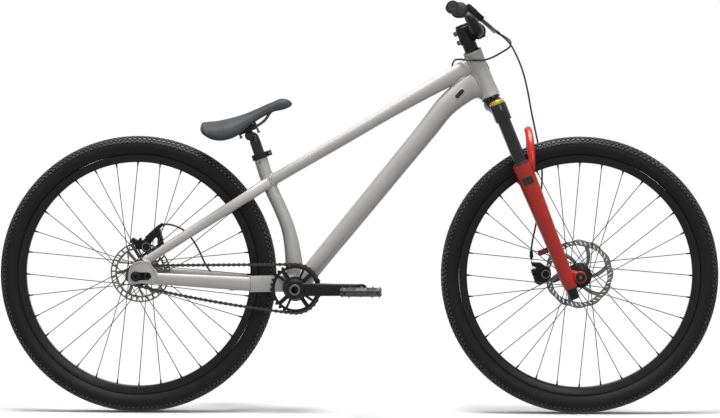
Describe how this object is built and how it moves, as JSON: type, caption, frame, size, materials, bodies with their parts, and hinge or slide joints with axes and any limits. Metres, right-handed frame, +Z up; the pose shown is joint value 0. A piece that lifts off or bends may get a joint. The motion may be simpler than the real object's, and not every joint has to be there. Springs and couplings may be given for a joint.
{
  "type": "dirt jump bike",
  "caption": "Hardtail dirt jump bike: brushed aluminium frame, red suspension fork, low sloping seat, wide riser bar, disc brakes and a single chainring with a short chain.",
  "frame": {"origin": "on the ground, midway between the two axles, in the middle plane of the frame", "axes": "+X points forward along the bike, +Y to its left side, +Z up; the drive side faces -Y"},
  "size_m": [1.7908, 0.7642, 1.0237],
  "materials": {
    "raw_aluminium": "brushed, clear",
    "black_metal": "satin black",
    "red_paint": "satin red",
    "gold_metal": "anodised gold",
    "tyre_rubber": "matt",
    "grip_rubber": "matt",
    "housing": "satin black",
    "black_plastic": "matt black",
    "saddle_cover": "matt dark grey",
    "steel": "satin",
    "chain_steel": "oiled"
  },
  "bodies": {
    "frame": {"head_tube": "raw_aluminium", "top_tube": "raw_aluminium", "down_tube": "raw_aluminium", "seat_tube": "raw_aluminium", "bottom_bracket_shell": "raw_aluminium", "chainstay_yoke": "raw_aluminium", "right_chainstay": "raw_aluminium", "left_chainstay": "raw_aluminium", "right_seatstay": "raw_aluminium", "left_seatstay": "raw_aluminium", "right_dropout": "raw_aluminium", "left_dropout": "raw_aluminium", "seat_collar": "black_metal", "bottom_bracket": "black_metal", "rear_axle": "black_metal", "rear_caliper": "black_metal", "rear_brake_hose": "housing", "chain": "chain_steel"},
    "seatpost_body": {"seatpost": "black_metal"},
    "saddle": {"saddle_clamp": "black_metal", "saddle_base": "black_plastic", "saddle_pad": "saddle_cover"},
    "steering": {"headset_spacers": "black_metal", "fork_crown": "black_metal", "stem": "black_metal", "handlebar": "black_metal", "right_grip": "grip_rubber", "left_grip": "grip_rubber", "right_brake_perch": "black_metal", "left_brake_perch": "black_metal", "right_stanchion": "black_metal", "left_stanchion": "black_metal", "preload_cap": "gold_metal", "front_brake_cable": "housing"},
    "right_lever": {"right_brake_lever": "black_metal"},
    "left_lever": {"left_brake_lever": "black_metal"},
    "lowers": {"fork_lowers": "red_paint", "front_axle": "black_metal", "front_caliper": "black_metal"},
    "knob": {"rebound_knob": "black_metal"},
    "front_arm": {"front_caliper_arm": "black_metal"},
    "rear_arm": {"rear_caliper_arm": "black_metal"},
    "front_wheel": {"front_tyre": "tyre_rubber", "front_rim": "black_metal", "front_right_spokes": "steel", "front_left_spokes": "steel", "front_hub": "black_metal", "front_rotor": "steel"},
    "rear_wheel": {"rear_tyre": "tyre_rubber", "rear_rim": "black_metal", "rear_right_spokes": "steel", "rear_left_spokes": "steel", "rear_hub": "black_metal", "rear_rotor": "steel"},
    "cog": {"rear_cog": "chain_steel"},
    "crank": {"right_crank_arm": "black_metal", "left_crank_arm": "black_metal", "chainring": "black_metal"},
    "right_pedal_body": {"right_pedal": "black_plastic"},
    "left_pedal_body": {"left_pedal": "black_plastic"}
  },
  "joints": [
    {"name": "steering", "type": "hinge", "parent": "frame", "child": "steering", "pos_m": [0.32599, 0, 0.7879], "axis": [-0.3746, 0, 0.9272], "range_deg": [-90, 90], "deforming": ["rear_brake_hose"]},
    {"name": "fork_travel", "type": "slide", "parent": "steering", "child": "lowers", "axis": [-0.3746, 0, 0.9272], "range_m": [0, 0.1], "stiffness_N_per_m": 5000, "springref_m": -0.03, "deforming": ["front_brake_cable"]},
    {"name": "front_wheel_spin", "type": "hinge", "parent": "lowers", "child": "front_wheel", "pos_m": [0.5485, 0, 0.345], "axis": [0, 1, 0], "continuous": true},
    {"name": "rear_wheel_spin", "type": "hinge", "parent": "frame", "child": "rear_wheel", "pos_m": [-0.5485, 0, 0.345], "axis": [0, 1, 0], "continuous": true},
    {"name": "crank_spin", "type": "hinge", "parent": "frame", "child": "crank", "pos_m": [-0.1555, 0, 0.313], "axis": [0, 1, 0], "continuous": true, "deforming": ["chain"]},
    {"name": "cog_spin", "type": "hinge", "parent": "frame", "child": "cog", "pos_m": [-0.5485, 0, 0.345], "axis": [0, 1, 0], "continuous": true, "deforming": ["chain"]},
    {"name": "right_pedal_spin", "type": "hinge", "parent": "crank", "child": "right_pedal_body", "pos_m": [0.0095, 0, 0.313], "axis": [0, 1, 0], "continuous": true},
    {"name": "left_pedal_spin", "type": "hinge", "parent": "crank", "child": "left_pedal_body", "pos_m": [-0.3205, 0, 0.313], "axis": [0, 1, 0], "continuous": true},
    {"name": "right_brake", "type": "hinge", "parent": "steering", "child": "right_lever", "pos_m": [0.2963, -0.192, 0.9845], "axis": [-0.6561, 0, -0.7547], "range_deg": [0, 18], "stiffness_Nm_per_rad": 1.2, "springref_deg": -22.92, "deforming": ["rear_brake_hose"]},
    {"name": "left_brake", "type": "hinge", "parent": "steering", "child": "left_lever", "pos_m": [0.2963, 0.192, 0.9845], "axis": [0.6561, 0, 0.7547], "range_deg": [0, 18], "stiffness_Nm_per_rad": 1.2, "springref_deg": -22.92, "deforming": ["front_brake_cable"]},
    {"name": "front_brake_arm", "type": "hinge", "parent": "lowers", "child": "front_arm", "pos_m": [0.46594, 0, 0.345], "axis": [0, 1, 0], "range_deg": [0, 15], "stiffness_Nm_per_rad": 0.4, "springref_deg": -22.92, "deforming": ["front_brake_cable"]},
    {"name": "rear_brake_arm", "type": "hinge", "parent": "frame", "child": "rear_arm", "pos_m": [-0.53125, 0, 0.411], "axis": [0, 1, 0], "range_deg": [0, 15], "stiffness_Nm_per_rad": 0.4, "springref_deg": -22.92, "deforming": ["rear_brake_hose"]},
    {"name": "seatpost_height", "type": "slide", "parent": "frame", "child": "seatpost_body", "axis": [-0.3223, 0, 0.9466], "range_m": [-0.01, 0.05]},
    {"name": "saddle_tilt", "type": "hinge", "parent": "seatpost_body", "child": "saddle", "pos_m": [-0.2701, 0, 0.69072], "axis": [0, 1, 0], "range_deg": [-8, 8]},
    {"name": "rebound_knob_turn", "type": "hinge", "parent": "lowers", "child": "knob", "pos_m": [0.52894, -0.065, 0.30906], "axis": [0.3746, 0, -0.9272], "range_deg": [-170, 170]}
  ],
  "couplings": [
    {"joint": "cog_spin", "follows": "crank_spin", "ratio": 2.5},
    {"joint": "front_brake_arm", "follows": "left_brake", "ratio": 0.8},
    {"joint": "rear_brake_arm", "follows": "right_brake", "ratio": 0.8}
  ]
}
